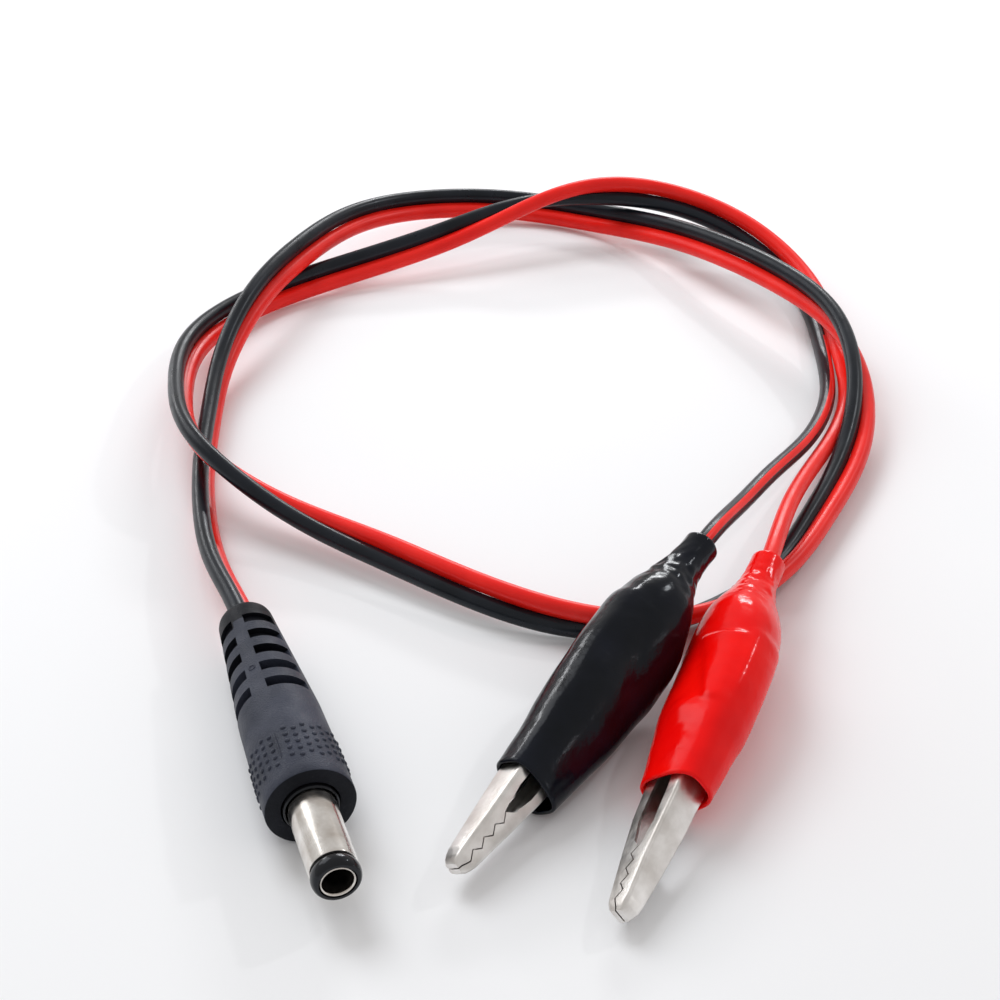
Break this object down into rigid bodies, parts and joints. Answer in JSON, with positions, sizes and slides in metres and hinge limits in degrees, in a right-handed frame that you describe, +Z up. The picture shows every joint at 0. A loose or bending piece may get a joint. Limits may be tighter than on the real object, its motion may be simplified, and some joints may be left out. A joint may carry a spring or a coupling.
{
  "type": "barrel plug to alligator clip lead",
  "caption": "Power lead: a moulded DC barrel plug on a two-core red and black cord that splits into a black and a red insulated alligator clip.",
  "frame": {"origin": "centre of the bounding box of the plug and the two clips, on the surface they lie on", "axes": "+Z up from the surface; +X from the plug towards the red clip; +Y from the jaws towards the cord loop"},
  "size_m": [0.0986, 0.1606, 0.0138],
  "materials": {
    "charcoal_plastic": "matt moulded soft PVC",
    "black_plastic": "hard glossy insulator",
    "black_pvc": "glossy flexible PVC",
    "red_pvc": "glossy flexible PVC",
    "nickel": "nickel-plated sheet and turned metal",
    "spring_steel": "drawn spring wire",
    "copper": "bare copper strands"
  },
  "bodies": {
    "lead": {"plug_overmold": "charcoal_plastic", "plug_inner_mold": "black_plastic", "plug_sleeve": "nickel", "plug_tip_ring": "black_plastic", "plug_center_contact": "nickel", "plug_strands_black": "copper", "plug_strands_red": "copper", "cord_black": "black_pvc", "cord_red": "red_pvc", "black_clip_boot": "black_pvc", "black_clip_fixed_jaw": "nickel", "black_clip_rivet": "nickel", "black_clip_spring": "spring_steel", "black_clip_strands": "copper", "red_clip_boot": "red_pvc", "red_clip_fixed_jaw": "nickel", "red_clip_rivet": "nickel", "red_clip_spring": "spring_steel", "red_clip_strands": "copper"},
    "black_jaw": {"black_clip_moving_jaw": "nickel"},
    "red_jaw": {"red_clip_moving_jaw": "nickel"}
  },
  "joints": [
    {"name": "black_clip_hinge", "type": "hinge", "parent": "lead", "child": "black_jaw", "pos_m": [0.009, 0.0016, 0.00635], "axis": [-0.6428, 0.5137, -0.5683], "range_deg": [0, 20], "stiffness_Nm_per_rad": 0.2, "springref_deg": -34.38, "deforming": ["black_clip_spring", "black_clip_boot"]},
    {"name": "red_clip_hinge", "type": "hinge", "parent": "lead", "child": "red_jaw", "pos_m": [0.0215, -0.0023, 0.00485], "axis": [-0.5884, 0.1471, 0.7951], "range_deg": [0, 20], "stiffness_Nm_per_rad": 0.2, "springref_deg": -34.38, "deforming": ["red_clip_spring", "red_clip_boot"]}
  ]
}
